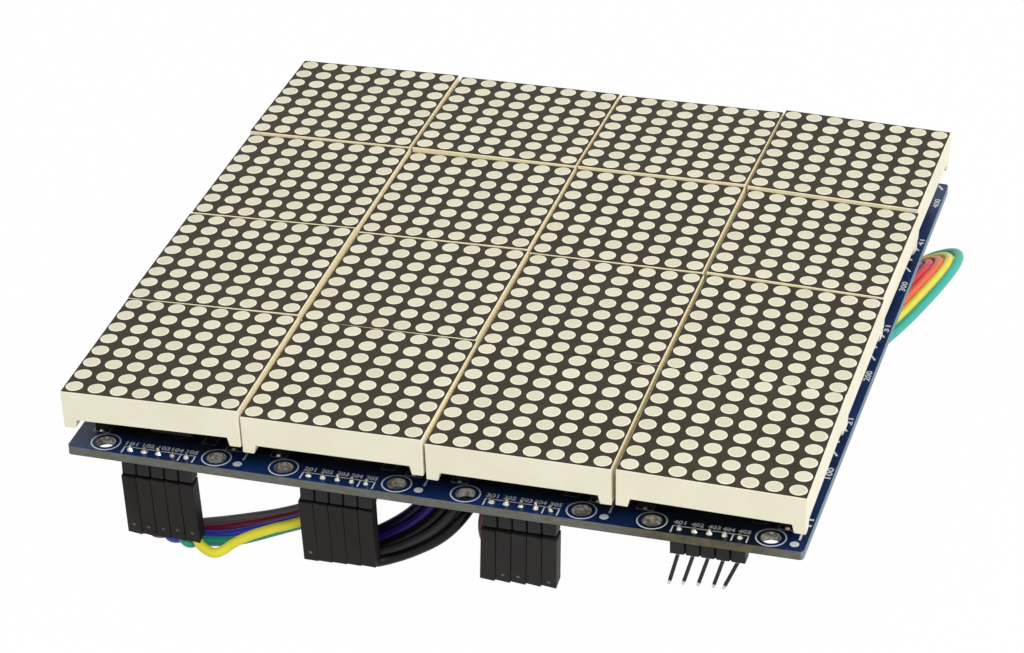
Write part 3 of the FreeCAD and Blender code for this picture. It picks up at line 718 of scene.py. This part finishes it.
def round_edges(shape, radius_mm, segments=2):
    """A small bevel on every sharp edge."""
    sharp = [edge for edge in shape.edges if edge.is_manifold and edge.calc_face_angle(0) > SHARP]
    bmesh.ops.bevel(shape, geom=sharp, offset=radius_mm * MM, offset_type="OFFSET", segments=segments,
                    profile=0.5, affect="EDGES", material=-1, clamp_overlap=True)


def piece(name, shape, material, nodes=()):
    """Turns a bmesh into a piece of the panel."""
    mesh = bpy.data.meshes.new(name)
    shape.to_mesh(mesh)
    shape.free()
    mesh.materials.append(material)
    made = bpy.data.objects.new(name, mesh)
    bpy.context.scene.collection.objects.link(made)
    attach(made, "root")
    if nodes:
        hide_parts(*nodes)
    return made


def rounded(name, node, radius_mm, material, move_mm=(0, 0, 0)):
    shape = merged(node)
    bmesh.ops.translate(shape, verts=shape.verts, vec=Vector(move_mm) * MM)
    if radius_mm:
        round_edges(shape, radius_mm)
    return piece(name, shape, material, [node])


# %% [markdown]
# Each kind of moulding has its own edge: large and soft on the housings, small on the headers and plugs.
# The sockets stand a little further back than the solids have them, inside their printed outlines, and
# the pins of the modules go with them.

# %% Housings, headers, sockets and chips
CASE_EDGE = 0.14
HEADER_EDGE = 0.06
PLUG_EDGE = 0.07
CHIP_EDGE = 0.15
SOCKET_EDGE = 0.1
SOCKET_SHIFT = (0, 1.1, 0)

for strip in STRIPS:
    for row in ROWS:
        rounded("case_%d_%d" % (strip, row), "housing_%d_%d" % (strip, row), CASE_EDGE, CREAM)
for side in ("front", "back"):
    rounded(side + "_header_bars", side + "_headers", HEADER_EDGE, HEADER)
for group in ("back_plugs_2", "back_plugs_3", "back_plugs_4"):
    rounded(group.replace("plugs", "shells"), group, PLUG_EDGE, PLUG)
rounded("chip_packages", "driver_chips", CHIP_EDGE, CHIP)
for strip in STRIPS:
    rounded("socket_bodies_%d" % strip, "sockets_%d" % strip, SOCKET_EDGE, SOCKET,
            SOCKET_SHIFT)
rounded("module_pins", "matrix_pins", 0, PLAIN_PIN, SOCKET_SHIFT)
print(len(STRIPS) * len(ROWS), "housings rounded")

# %% [markdown]
# The front plugs hang a little askew, each row in its own way. In the solids a row is turned as one. Here
# its lower end moves a little more: to the side, and up or down, by amounts that change along the row. A
# shear of the points does this and keeps the upper end on its header. Near the lower end some shells show
# a small moulding mark, painted a lighter grey as a painted highlight of the light that its low dome
# catches.

# %% Front plugs
HEADER_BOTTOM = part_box("front_headers")[0][2] / MM
PLUG_LENGTH = 14.0
FRONT_TILT = -0.9
FRONT_AREA = (4 * MM) ** 2
MARK_RADII = (0.42 * MM, 0.2 * MM)
MARK_DEPTH = 0.12 * MM
# middle of the row, then the move of its lower end: sideways, its change along the row, up, its change
ASKEW = {
    "front_plugs_1": (-48.0, 0.8, 0.0, 0.0, 0.0),
    "front_plugs_2": (-16.0, 0.12, 0.01, 0.07, 0.045),
    "front_plugs_3": (16.0, -0.3, 0.04, 0.12, 0.0),
}
# which plugs of a row, counted from the left, show their mark, and its height over the lower end
MARKS = {
    "front_plugs_1": {0: 2.2, 1: 2.0, 2: 2.1, 3: 2.3, 4: 2.1},
    "front_plugs_2": {0: 2.0},
    "front_plugs_3": {1: 1.9, 2: 1.9, 4: 1.4},
}


def shear(shape, middle, aside, aside_more, up, up_more):
    """Moves the lower end of a row of plugs, and leaves its upper end on the header."""
    for vert in shape.verts:
        share = max(0.0, HEADER_BOTTOM - vert.co.z / MM) / PLUG_LENGTH
        along = vert.co.x / MM - middle
        vert.co.x += share * (aside + aside_more * along) * MM
        vert.co.z += share * (up + up_more * along) * MM


def add_mark(marks, face, height):
    """A low round mark on the front of a plug, at a height in millimetres over its lower end."""
    corners = sorted((vert.co for vert in face.verts), key=lambda point: point.z)
    foot = (corners[0] + corners[1]) / 2
    upward = face.calc_center_median() - foot
    spot = foot + upward.normalized() * height * MM
    stand = Matrix.Translation(spot) @ face.normal.to_track_quat("Z", "Y").to_matrix().to_4x4()
    bmesh.ops.create_cone(marks, cap_ends=True, segments=12, radius1=MARK_RADII[0], radius2=MARK_RADII[1],
                          depth=MARK_DEPTH, matrix=stand)


marks = bmesh.new()
for group, lean in ASKEW.items():
    shape = merged(group)
    shape.normal_update()
    shear(shape, *lean)
    fronts = [face for face in shape.faces if face.normal.y < FRONT_TILT and face.calc_area() > FRONT_AREA]
    fronts.sort(key=lambda face: face.calc_center_median().x)
    for number, height in MARKS[group].items():
        add_mark(marks, fronts[number], height)
    round_edges(shape, PLUG_EDGE)
    piece(group.replace("plugs", "shells"), shape, PLUG, [group])
# the marks carry a painted highlight
piece("glinting_moulding_marks", marks, MARK_GLINT)
print(sum(len(row) for row in MARKS.values()), "marks on the front plugs")

# %% [markdown]
# Some nodes have the right shape already: the board, the small parts on it and the printed faces. They
# keep their meshes and only get their finish.

# %% Finishes of the other nodes
KEPT = {"board": BOARD, "capacitors": CERAMIC, "resistors": CHIP}
for strip in STRIPS:
    KEPT["face_mask_%d" % strip] = FACE
for node, material in KEPT.items():
    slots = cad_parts[node].data.materials
    slots.clear()
    slots.append(material)
print(len(KEPT), "nodes keep their meshes")

# %% [markdown]
# There are 1024 dots, so each has only a few dozen faces. One low round lens is made from a circle,
# with its rings extruded one from the next: up over the face, in over a soft shoulder, and flat on top. The
# painted rim highlight goes on the points on the way.

# %% Lens of a dot
DOT_RADIUS = 1.5
DOT_SIDES = 20
# radius, height over the face and painted rim highlight of the rings of a lens, from the outside in
LENS_RINGS = [(DOT_RADIUS, -0.03, 1.0), (DOT_RADIUS, 0.035, 1.0), (1.43, 0.06, 0.9), (1.2, 0.065, 0.0)]


def lens_template():
    """A low round lens about the Z axis. The rings are extruded one from the next."""
    shape = bmesh.new()
    rim_highlight = shape.verts.layers.float.new("rim_highlight")
    shape.verts.layers.float.new("tone")
    reached, height, first_value = LENS_RINGS[0]
    made = bmesh.ops.create_circle(shape, cap_ends=True, segments=DOT_SIDES, radius=reached * MM)
    bmesh.ops.translate(shape, verts=made["verts"], vec=(0, 0, height * MM))
    for vert in shape.verts:
        vert[rim_highlight] = first_value
    loop = list(shape.edges)
    for radius, level, value in LENS_RINGS[1:]:
        grown = bmesh.ops.extrude_edge_only(shape, edges=loop)["geom"]
        verts = [item for item in grown if isinstance(item, bmesh.types.BMVert)]
        loop = [item for item in grown if isinstance(item, bmesh.types.BMEdge)
                and all(vert in verts for vert in item.verts)]
        bmesh.ops.scale(shape, vec=(radius / reached, radius / reached, 1), verts=verts)
        bmesh.ops.translate(shape, verts=verts, vec=(0, 0, (level - height) * MM))
        for vert in verts:
            vert[rim_highlight] = value
        reached, height = radius, level
    bmesh.ops.contextual_create(shape, geom=loop)
    bmesh.ops.recalc_face_normals(shape, faces=shape.faces)
    mesh = bpy.data.meshes.new("lens_template")
    shape.to_mesh(mesh)
    shape.free()
    return mesh


template = lens_template()
print("a lens has", len(template.polygons), "faces")

# %% [markdown]
# In the solids each dot is a four-sided pyramid, so its base gives the middle of the lens and its tip the
# direction, also on a module that leans. The pyramids of a strip are told apart as the islands of its
# mesh. A row and column formula would miss how every module sits.

# %% Dots
DOT_SEED = 8


def middle_of(points):
    return sum(points, Vector()) / len(points)


def islands(shape):
    """The separate solids of a merged bmesh, each as a list of its corner points."""
    reached = set()
    found = []
    for first in shape.verts:
        if first in reached:
            continue
        reached.add(first)
        group = [first]
        # the list grows while it is walked, in the same order in every run
        for vert in group:
            near = [edge.other_vert(vert) for edge in vert.link_edges]
            fresh = [other for other in near if other not in reached]
            reached.update(fresh)
            group += fresh
        found.append([vert.co.copy() for vert in group])
    return sorted(found, key=lambda points: tuple(round(v, 5) for v in middle_of(points)))


def pyramids(node):
    """Middle and direction of every dot of a strip."""
    source = bmesh.new()
    source.from_mesh(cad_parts[node].data)
    bmesh.ops.remove_doubles(source, verts=source.verts, dist=MERGE)
    found = []
    for points in islands(source):
        tip = max(points, key=lambda point: point.z)
        base = middle_of([point for point in points if point is not tip])
        found.append((base, (tip - base).normalized()))
    source.free()
    return found


luck = random.Random(DOT_SEED)
dot_count = 0
for strip in STRIPS:
    node = "led_dots_%d" % strip
    dots = bmesh.new()
    for base, upward in pyramids(node):
        before = len(dots.verts)
        dots.from_mesh(template)
        dots.verts.ensure_lookup_table()
        fresh = dots.verts[before:]
        tone = dots.verts.layers.float["tone"]
        shade = luck.random()
        for vert in fresh:
            vert[tone] = shade
        lean = upward.to_track_quat("Z", "Y").to_matrix().to_4x4()
        bmesh.ops.transform(dots, matrix=Matrix.Translation(base) @ lean, verts=fresh)
        dot_count += 1
    piece("dot_lenses_%d" % strip, dots, LENS_FINISH, [node])
print(dot_count, "dots")

# %% [markdown]
# The bare pins are square wire, cut to a short taper. The end face of every pin is drawn back along it,
# then extruded in rings to the full length, narrower each time, so that the taper ends where the wire
# did. A cut across the root gives it points of its own, because the painted highlight can only sit on
# points.

# %% Bare pins
ROOT_LEVELS = (-3.0, -3.4)
ROOT_MARGIN = 0.05
ROOT_HIGHLIGHT = 0.7
TIP_LENGTH = 1.0
PIN_EDGE = 0.06
# how far over the start of the tip, and how wide against the pin, its rings are
TIP_RINGS = [(0.2, 0.98), (0.6, 0.88), (1.0, 0.5)]


def taper(shape, end, bright):
    """Draws one end face back and extrudes it again in narrowing rings."""
    axis = end.normal.copy()
    bmesh.ops.translate(shape, verts=end.verts, vec=-axis * TIP_LENGTH * MM)
    start = end.calc_center_median()
    reach = [vert.co - start for vert in end.verts]
    face = end
    for height, width in TIP_RINGS:
        face = bmesh.ops.extrude_discrete_faces(shape, faces=[face])["faces"][0]
        for vert, arm in zip(face.verts, reach):
            vert.co = start + arm * width + axis * height * MM
            # painted highlight on the tip
            vert[bright] = 1.0


def pin_copies(name, node):
    """Copies of square pins with tapered ends, painted highlights on the ends and roots, and softened edges.
    """
    shape = merged(node)
    bright = shape.verts.layers.float.new("bright")
    for level in ROOT_LEVELS:
        everything = list(shape.verts) + list(shape.edges) + list(shape.faces)
        bmesh.ops.bisect_plane(shape, geom=everything, plane_co=(0, 0, level * MM), plane_no=(0, 0, 1))
    for vert in shape.verts:
        if vert.co.z > (ROOT_LEVELS[0] - ROOT_MARGIN) * MM:
            # painted highlight on the root
            vert[bright] = ROOT_HIGHLIGHT
    shape.normal_update()
    for end in sorted(shape.faces, key=lambda face: face.calc_center_median().z)[:WAYS]:
        taper(shape, end, bright)
    round_edges(shape, PIN_EDGE, 1)
    return piece(name, shape, PIN, [node])


for side in ("front", "back"):
    pins = pin_copies(side + "_square_pins", side + "_pins")
    print(pins.name, len(pins.data.polygons), "faces")

# %% [markdown]
# The headers are soldered from the top. Every joint has a cone of solder and the stub of a pin in it, and
# none is quite like the next, so each measure is drawn from a small range. A seeded generator draws the
# same numbers in every run. Under the board each module pin ends in a low joint of the same solder, and a
# free pad lies in front of every socket.

# %% Solder joints
HEADER_Y = 62.4
PITCH = 2.54
STRIP_PITCH = 32.0
MODULE_SIDE = 8
SOCKET_HALF = 12.0
BOARD_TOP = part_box("board")[1][2] / MM
STRIP_MIDDLES = [(strip - 2.5) * STRIP_PITCH for strip in STRIPS]
ROW_MIDDLES = [(row - 2.5) * STRIP_PITCH for row in ROWS]
SUNK = 0.02
# least and most of the measures of a joint
JOINT_FOOT = (0.55, 0.7)
JOINT_TOP = 0.32
JOINT_HEIGHT = (0.35, 0.6)
STUB_FOOT = 0.34
STUB_TIP = (0.2, 0.3)
STUB_HEIGHT = (0.95, 1.35)
BARE_STUB_HEIGHT = (0.7, 0.95)
LEAN_ASIDE = (-0.12, 0.12)
LEAN_AHEAD = (-0.1, 0.1)
WOBBLE = (-0.05, 0.05)
PAD_AHEAD = -9.7
PAD_RADII = (0.5, 0.25)
PAD_HEIGHT = (0.15, 0.3)
UNDER_RADII = (0.7, 0.3)
UNDER_HEIGHT = (0.5, 0.7)


def cone(shape, place_mm, low_radius, high_radius, height, sides, matrix=Matrix()):
    """A cone or stub that stands on a place given in millimetres."""
    stand = Matrix.Translation(Vector(place_mm) * MM) @ matrix @ Matrix.Translation((0, 0, height / 2 * MM))
    return bmesh.ops.create_cone(shape, cap_ends=True, segments=sides, radius1=low_radius * MM,
                                 radius2=high_radius * MM, depth=height * MM, matrix=stand)["verts"]


def header_joint(shape, place, heights):
    """A cone of solder with the stub of a pin in it."""
    height = luck.uniform(*heights)
    lean = Matrix.Rotation(luck.uniform(*LEAN_ASIDE), 4, "Y")
    lean = lean @ Matrix.Rotation(luck.uniform(*LEAN_AHEAD), 4, "X")
    solder = cone(shape, place, luck.uniform(*JOINT_FOOT), JOINT_TOP, luck.uniform(*JOINT_HEIGHT), 12, lean)
    stub = cone(shape, place, STUB_FOOT, luck.uniform(*STUB_TIP), height, 6, lean)
    for vert in solder + stub:
        vert.co.x += luck.uniform(*WOBBLE) * MM
        vert.co.y += luck.uniform(*WOBBLE) * MM


def socket_joints(shape, x, row_middle):
    """The free pad in front of a socket and the joints of its eight pins under the board."""
    cone(shape, (x, row_middle + PAD_AHEAD, BOARD_TOP), *PAD_RADII, luck.uniform(*PAD_HEIGHT), 8)
    under = Matrix.Rotation(math.pi, 4, "X")
    for pin in range(MODULE_SIDE):
        place = (x, row_middle + (pin - (MODULE_SIDE - 1) / 2) * PITCH, SUNK)
        cone(shape, place, *UNDER_RADII, luck.uniform(*UNDER_HEIGHT), 8, under)


joints = bmesh.new()
for strip, middle in zip(STRIPS, STRIP_MIDDLES):
    for side in (-1, 1):
        heights = BARE_STUB_HEIGHT if strip == 4 and side == -1 else STUB_HEIGHT
        for way in range(WAYS):
            header_joint(joints, (middle + (way - 2) * PITCH, side * HEADER_Y, BOARD_TOP - SUNK), heights)
for middle in STRIP_MIDDLES:
    for row_middle in ROW_MIDDLES:
        for side in (-1, 1):
            socket_joints(joints, middle + side * SOCKET_HALF, row_middle)
joint_piece = piece("solder_joints", joints, SOLDER, ["solder_tips"])
print("solder:", len(joint_piece.data.polygons), "faces")

# %% [markdown]
# The legend is white ink on the board's top. A painted mask would need an image, and ink has a thickness
# that catches light, so every mark is a thin body of its own. Lines are flat boxes, rings are a small
# section spun about the hole, and figures are text, made a mesh before it is put in its place.

# %% Marks of the legend
INK_THICK = 0.02
RING_SEGMENTS = 48
DISC_SIDES = 24
# a text's depth in its own units, before it is scaled to the ink's thickness
TEXT_DEPTH = 0.01
TEXT_SPREAD = 0.02


class Legend:
    """Ink gathered in one bmesh. Places are in millimetres on the board's top."""

    def __init__(self):
        self.shape = bmesh.new()

    def bar(self, start, end, width):
        along = Vector(end) - Vector(start)
        middle = (Vector(start) + Vector(end)) / 2
        turn = Matrix.Rotation(math.atan2(along.y, along.x), 4, "Z")
        scale = Matrix.Diagonal((along.length * MM, width * MM, INK_THICK * MM, 1))
        place = Matrix.Translation(Vector((middle.x, middle.y, BOARD_TOP + INK_THICK / 2)) * MM)
        bmesh.ops.create_cube(self.shape, size=1, matrix=place @ turn @ scale)

    def outline(self, low, high, width):
        (x0, y0), (x1, y1) = low, high
        half = width / 2
        for y in (y0, y1):
            self.bar((x0 - half, y), (x1 + half, y), width)
        for x in (x0, x1):
            self.bar((x, y0 + half), (x, y1 - half), width)

    def disc(self, centre, radius):
        cone(self.shape, (*centre, BOARD_TOP), radius, radius, INK_THICK, DISC_SIDES)

    def ring(self, centre, outer, inner):
        middle = Vector((*centre, BOARD_TOP)) * MM
        corners = [(inner, 0), (outer, 0), (outer, INK_THICK), (inner, INK_THICK)]
        verts = [self.shape.verts.new(middle + Vector((out, 0, up)) * MM) for out, up in corners]
        edges = [self.shape.edges.new((verts[i], verts[(i + 1) % 4])) for i in range(4)]
        bmesh.ops.spin(self.shape, geom=verts + edges, cent=middle, axis=(0, 0, 1), angle=2 * math.pi,
                       steps=RING_SEGMENTS, use_merge=True)

    def figures(self, number, centre, size, turn=0.0):
        """A number of a given width and height about a centre, turned about it."""
        curve = bpy.data.curves.new("figures", "FONT")
        curve.body = str(number)
        curve.resolution_u = 2
        curve.extrude = TEXT_DEPTH
        curve.offset = TEXT_SPREAD
        writer = bpy.data.objects.new("figures", curve)
        bpy.context.scene.collection.objects.link(writer)
        bpy.context.view_layer.update()
        mesh = bpy.data.meshes.new_from_object(writer.evaluated_get(bpy.context.evaluated_depsgraph_get()))
        bpy.data.objects.remove(writer)
        bpy.data.curves.remove(curve)
        xs = [vert.co.x for vert in mesh.vertices]
        ys = [vert.co.y for vert in mesh.vertices]
        width, height = size
        to_middle = Matrix.Translation((-(min(xs) + max(xs)) / 2, -(min(ys) + max(ys)) / 2, TEXT_DEPTH))
        scale = Matrix.Diagonal((width / (max(xs) - min(xs)) * MM, height / (max(ys) - min(ys)) * MM,
                                 INK_THICK / (2 * TEXT_DEPTH) * MM, 1))
        place = Matrix.Translation(Vector((*centre, BOARD_TOP)) * MM) @ Matrix.Rotation(turn, 4, "Z")
        mesh.transform(place @ scale @ to_middle)
        self.shape.from_mesh(mesh)
        bpy.data.meshes.remove(mesh)


# %% [markdown]
# Each strip has the same legend: a ring about every hole, a line with three ticks and five pin numbers at
# every header, a dot and a short line at its corner, and the outlines of the sockets. So it is written
# once, about the middle of a strip, and a loop lays it four times. The figures are plain pin numbers.

# %% Legend
HOLE_OFFSET = 10.0
HOLE_Y = 61.1
RING_RADII = (2.62, 2.36)
HEADER_LINE = (-6.4, 6.5)
HEADER_LINE_Y = 61.6
HEADER_LINE_WIDTH = 0.17
TICKS = (-6.3, 3.85, 6.4)
TICK_END_Y = 63.6
TICK_WIDTH = 0.24
LABEL_OFFSETS = (-5.43, -2.4, 0.4, 2.85, 5.5)
LABEL_Y = 60.5
LABEL_SIZE = (2.1, 1.12)
CORNER_DOT = (14.1, -62.05)
CORNER_DOT_RADIUS = 0.78
CORNER_LINE_X = 14.65
CORNER_LINE_ENDS = (-60.7, -57.0)
CORNER_LINE_WIDTH = 0.36
SOCKET_OUTLINE = (1.4, 10.3)
SOCKET_LINE_WIDTH = 0.16
SMALL_OUTLINE = ((6.1, -9.5), (8.4, -6.4))
SMALL_LINE_WIDTH = 0.14


def header_print(legend, strip, x, side):
    """The rings, line, ticks and pin numbers at one end of a strip."""
    for hole in (-HOLE_OFFSET, HOLE_OFFSET):
        legend.ring((x + hole, side * HOLE_Y), *RING_RADII)
    start, end = HEADER_LINE
    legend.bar((x + start, side * HEADER_LINE_Y), (x + end, side * HEADER_LINE_Y), HEADER_LINE_WIDTH)
    for offset in TICKS:
        legend.bar((x + offset, side * HEADER_LINE_Y), (x + offset, side * TICK_END_Y), TICK_WIDTH)
    for way, offset in enumerate(LABEL_OFFSETS, start=1):
        legend.figures(100 * strip + way, (x + offset, side * LABEL_Y), LABEL_SIZE)


def module_print(legend, x, y):
    """The outlines of two sockets and of the small part between them."""
    half_width, half_length = SOCKET_OUTLINE
    for side in (-1, 1):
        middle = x + side * SOCKET_HALF
        legend.outline((middle - half_width, y - half_length), (middle + half_width, y + half_length),
                       SOCKET_LINE_WIDTH)
    (x0, y0), (x1, y1) = SMALL_OUTLINE
    legend.outline((x + x0, y + y0), (x + x1, y + y1), SMALL_LINE_WIDTH)


legend = Legend()
for strip, x in zip(STRIPS, STRIP_MIDDLES):
    for side in (-1, 1):
        header_print(legend, strip, x, side)
    legend.disc((x + CORNER_DOT[0], CORNER_DOT[1]), CORNER_DOT_RADIUS)
    legend.bar((x + CORNER_LINE_X, CORNER_LINE_ENDS[0]), (x + CORNER_LINE_X, CORNER_LINE_ENDS[1]),
               CORNER_LINE_WIDTH)
    for y in ROW_MIDDLES:
        module_print(legend, x, y)
print(len(legend.shape.faces), "faces of ink so far")

# %% [markdown]
# Along the right edge every row has the numbers of its units, turned a quarter, with slanted marks and
# dots. They belong to the rows and not to the strips, so they have a loop of their own.

# %% Legend of the right edge
UNIT_PLACE = (63.2, -7.3)
UNIT_SIZE = (2.3, 0.95)
TOTAL_PLACE = (63.15, 8.1)
TOTAL_SIZE = (3.4, 1.15)
SLANT_X = (62.3, 63.3)
SLANT_ENDS = (-9.0, -10.4)
TOTAL_SLANT_ENDS = (15.0, 13.6)
SLANT_WIDTH = 0.4
# place from the middle of a row, and radius
EDGE_DOTS = [(62.4, -11.75, 0.3), (62.5, -14.0, 0.35)]


def slant(y, ends):
    legend.bar((SLANT_X[0], y + ends[0]), (SLANT_X[1], y + ends[1]), SLANT_WIDTH)


for row, y in zip(ROWS, ROW_MIDDLES):
    legend.figures(10 * row + 1, (UNIT_PLACE[0], y + UNIT_PLACE[1]), UNIT_SIZE, math.pi / 2)
    if row > 1:
        slant(y, SLANT_ENDS)
        for x, offset, radius in EDGE_DOTS:
            legend.disc((x, y + offset), radius)
    legend.figures(100 * row, (TOTAL_PLACE[0], y + TOTAL_PLACE[1]), TOTAL_SIZE, math.pi / 2)
    slant(y, TOTAL_SLANT_ENDS)
ink = piece("legend", legend.shape, INK)
print("legend:", len(ink.data.polygons), "faces")
